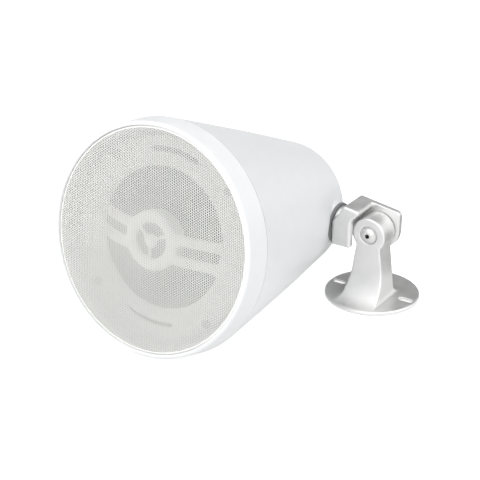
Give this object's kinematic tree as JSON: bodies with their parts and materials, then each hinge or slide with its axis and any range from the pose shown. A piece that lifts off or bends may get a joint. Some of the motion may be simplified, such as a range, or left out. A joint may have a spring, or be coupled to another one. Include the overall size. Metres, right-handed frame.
{
  "type": "pendant speaker",
  "caption": "White conical projector-type loudspeaker with a round perforated grille and a coaxial driver, carried at its side by a grey swivel-and-tilt bracket on a round foot.",
  "frame": {"origin": "centre of the bracket foot's mounting face", "axes": "+Z out of the mounting surface through the foot, the speaker beside the foot on the -X side with its grille facing -Y, tipped up"},
  "size_m": [0.255, 0.2717, 0.2057],
  "materials": {
    "white_shell": "satin white moulding",
    "white_mesh": "satin white powder coat on pressed steel",
    "white_trim": "satin white moulding",
    "grey_casting": "light grey paint on die-cast aluminium",
    "cone_paper": "pressed paper pulp",
    "dark_rubber": "moulded rubber",
    "damper_cloth": "resin-treated cloth",
    "silk_dome": "coated silk",
    "coil": "copper wire on a thin former",
    "plated_steel": "zinc-plated steel",
    "black_steel": "black paint on pressed steel",
    "ferrite": "sintered ferrite",
    "foam": "closed-cell foam",
    "board": "glass-epoxy board",
    "film_yellow": "wrapped film",
    "green_plastic": "moulded terminal housing"
  },
  "bodies": {
    "foot": {"foot": "grey_casting"},
    "arm": {"arm": "grey_casting", "tilt_bolt": "plated_steel", "tilt_washer": "plated_steel", "tilt_rear_washer": "plated_steel", "tilt_nut": "plated_steel"},
    "speaker": {"rear_housing": "white_shell", "front_bezel": "white_shell", "grille": "white_mesh", "tweeter_bridge": "white_trim", "tweeter_diaphragm": "silk_dome", "tweeter_cup": "plated_steel", "tweeter_magnet": "ferrite", "surround": "dark_rubber", "spider": "damper_cloth", "basket": "black_steel", "driver_gasket": "foam", "top_plate": "plated_steel", "magnet": "ferrite", "yoke": "plated_steel", "driver_screws": "plated_steel", "crossover_board": "board", "board_screws": "plated_steel", "crossover_capacitor": "film_yellow", "terminal_block": "green_plastic", "cable_grommet": "dark_rubber", "backing_plate": "plated_steel", "swivel_pad": "dark_rubber", "swivel_bolt": "plated_steel", "swivel_washer": "plated_steel", "swivel_nut": "plated_steel"},
    "cone": {"woofer_cone": "cone_paper", "dust_cap": "cone_paper", "voice_coil": "coil"}
  },
  "joints": [
    {"name": "tilt", "type": "hinge", "parent": "foot", "child": "arm", "pos_m": [0, -0.00275, 0.0665], "axis": [0, 1, 0], "range_deg": [0, 90]},
    {"name": "swivel", "type": "hinge", "parent": "arm", "child": "speaker", "pos_m": [-0.0355, -0.00275, 0.0665], "axis": [-1, 0, 0], "range_deg": [0, 157]},
    {"name": "cone_stroke", "type": "slide", "parent": "speaker", "child": "cone", "axis": [0, -0.9799, 0.1994], "range_m": [-0.002, 0.002], "stiffness_N_per_m": 1500, "deforming": ["surround", "spider"]}
  ]
}
